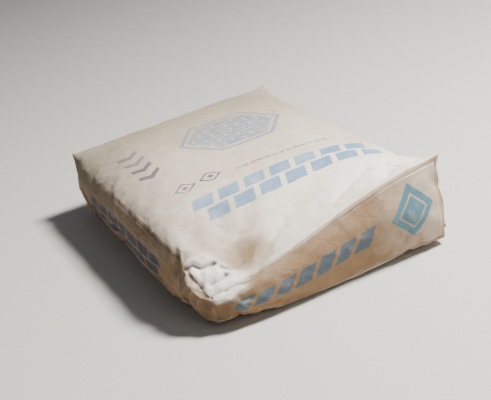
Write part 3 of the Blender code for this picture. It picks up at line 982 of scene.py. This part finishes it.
end_paper = paper_finish("printed_end_sheet", end_print, end_brown)
valve_end_sheet = end_sheet("valve_end_sheet", 1)
valve_end_sheet.data.materials.clear()
valve_end_sheet.data.materials.append(end_paper)
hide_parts("valve_end_cover")
base_end_sheet = end_sheet("base_end_sheet", -1)
base_end_sheet.data.materials.clear()
base_end_sheet.data.materials.append(end_paper)
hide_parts("base_end_cover")


# The valve's tube: two walls of plain kraft paper pressed flat by the cement, pasted in behind an
# upright fold of the end. Its mouth stands a little out of the long side.

TUBE_WIDTH = 0.066
TUBE_WALL = 0.0004
MOUTH_REACH = 0.028
MOUTH_WALL_BOW = 0.0006
MOUTH_LEAN = 0.0014
MOUTH_WAVE = 0.0012
bpy.ops.object.select_all(action="DESELECT")
bpy.ops.mesh.primitive_cube_add(size=1.0, location=tube_middle)
valve_tube = bpy.context.object
valve_tube.name = "valve_tube"
valve_tube.data.name = "valve_tube"
valve_tube.scale = tube_high - tube_low
bpy.ops.object.transform_apply(location=True, rotation=True, scale=True)
bpy.ops.object.mode_set(mode="EDIT")
tube = bmesh.from_edit_mesh(valve_tube.data)
for part in list(tube.faces) + list(tube.edges) + list(tube.verts):
    part.select_set(False)
for face in tube.faces:
    face.select_set(abs(face.normal.y) > 0.5)
bmesh.update_edit_mesh(valve_tube.data)
bpy.ops.mesh.delete(type="ONLY_FACE")
bpy.ops.mesh.select_all(action="SELECT")
bpy.ops.mesh.subdivide(number_cuts=11)
bpy.ops.object.mode_set(mode="OBJECT")
for point in valve_tube.data.vertices:
    out = max(0.0, (point.co.y - tube_high.y + MOUTH_REACH) / MOUTH_REACH)
    up = (point.co.z - tube_middle.z) / (TUBE_WIDTH / 2)
    bow = (1 - up**2) * out**2
    wall = 1 if point.co.x > tube_middle.x else -1
    point.co.x += bow * (MOUTH_WALL_BOW * wall + MOUTH_LEAN)
    point.co.y += out * MOUTH_WAVE * math.sin(up * 4.0 + 0.5)
walls = valve_tube.modifiers.new("paper", "SOLIDIFY")
walls.thickness = TUBE_WALL
walls.offset = -1.0
bpy.ops.object.modifier_apply(modifier="paper")
valve_tube.data.shade_smooth()

PALE_KRAFT = (0.28, 0.175, 0.095, 1.0)


def plain_kraft():
    """Unprinted brown kraft paper with long fibres and some cement dust."""
    material, tree, where = new_material("plain_kraft_paper")
    sockets = {"Vector": where, "Scale": (1.0, 0.3, 1.0)}
    stretched = Shade.node(tree, "ShaderNodeMapping", {"vector_type": "POINT"}, sockets)
    fibre = blotches(tree, stretched, 500.0, 4.0, 0.7)
    mottle = blotches(tree, where, 60.0, 4.0, 0.6)
    kraft = mixed(tree, fibre.rising(0.30, 0.75) * 0.6, PLAIN_KRAFT, PALE_KRAFT)
    kraft = mixed(tree, mottle.rising(0.50, 0.70) * 0.5, kraft, CEMENT_DUST)
    end_material(tree, kraft, 0.74 + fibre * 0.16, 0.3, fibre * 0.0001 + mottle * 0.0004)
    return material


valve_tube.data.materials.clear()
valve_tube.data.materials.append(plain_kraft())
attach(valve_tube, "root")
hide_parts("valve_sleeve")


# The floor, the lights and the camera: a plain pale studio floor, a soft key light from high up, a
# weak fill light, and a camera tipped to one side, so that the sack slants in the picture.

bpy.ops.mesh.primitive_plane_add(size=24.0, location=(0, 0, 0))
floor = bpy.context.object
floor.name = "floor"
floor_finish = bpy.data.materials.new("pale_floor")
floor_finish.use_nodes = True
floor_shader = floor_finish.node_tree.nodes["Principled BSDF"]
floor_shader.inputs["Base Color"].default_value = (0.50, 0.49, 0.47, 1.0)
floor_shader.inputs["Roughness"].default_value = 0.8
floor.data.materials.append(floor_finish)

world = bpy.data.worlds.new("soft_studio")
bpy.context.scene.world = world
world.use_nodes = True
world.node_tree.nodes["Background"].inputs["Color"].default_value = (0.93, 0.96, 1.0, 1.0)
world.node_tree.nodes["Background"].inputs["Strength"].default_value = 0.16


def studio_light(name, place, size, power, tint):
    """A square soft light that faces the sack."""
    light = bpy.data.lights.new(name, "AREA")
    light.size = size
    light.energy = power
    light.color = tint
    lamp = bpy.data.objects.new(name, light)
    lamp.location = place
    bpy.context.scene.collection.objects.link(lamp)
    to_sack = -lamp.location.normalized()
    lamp.rotation_euler = to_sack.to_track_quat("-Z", "Y").to_euler()


studio_light("key", (0.70, 1.18, 2.05), 0.50, 228, (1.0, 0.965, 0.91))
studio_light("fill", (2.4, 0.3, 1.4), 1.2, 9, (1.0, 0.97, 0.93))

AZIMUTH = math.radians(71)
ELEVATION = math.radians(22)
ROLL = math.radians(-13)
DISTANCE = 1.95
TARGET = (0.005, 0.0, 0.052)
camera_data = bpy.data.cameras.new("camera")
camera_data.lens = 85
camera_data.sensor_width = 36
camera = bpy.data.objects.new("camera", camera_data)
bpy.context.scene.collection.objects.link(camera)
back = (
    math.sin(AZIMUTH) * math.cos(ELEVATION),
    -math.cos(AZIMUTH) * math.cos(ELEVATION),
    math.sin(ELEVATION),
)
camera.location = Vector(TARGET) + DISTANCE * Vector(back)
level = (-Vector(back)).to_track_quat("-Z", "Y").to_matrix()
camera.rotation_euler = (level @ Matrix.Rotation(ROLL, 3, "Z")).to_euler()
bpy.context.scene.camera = camera
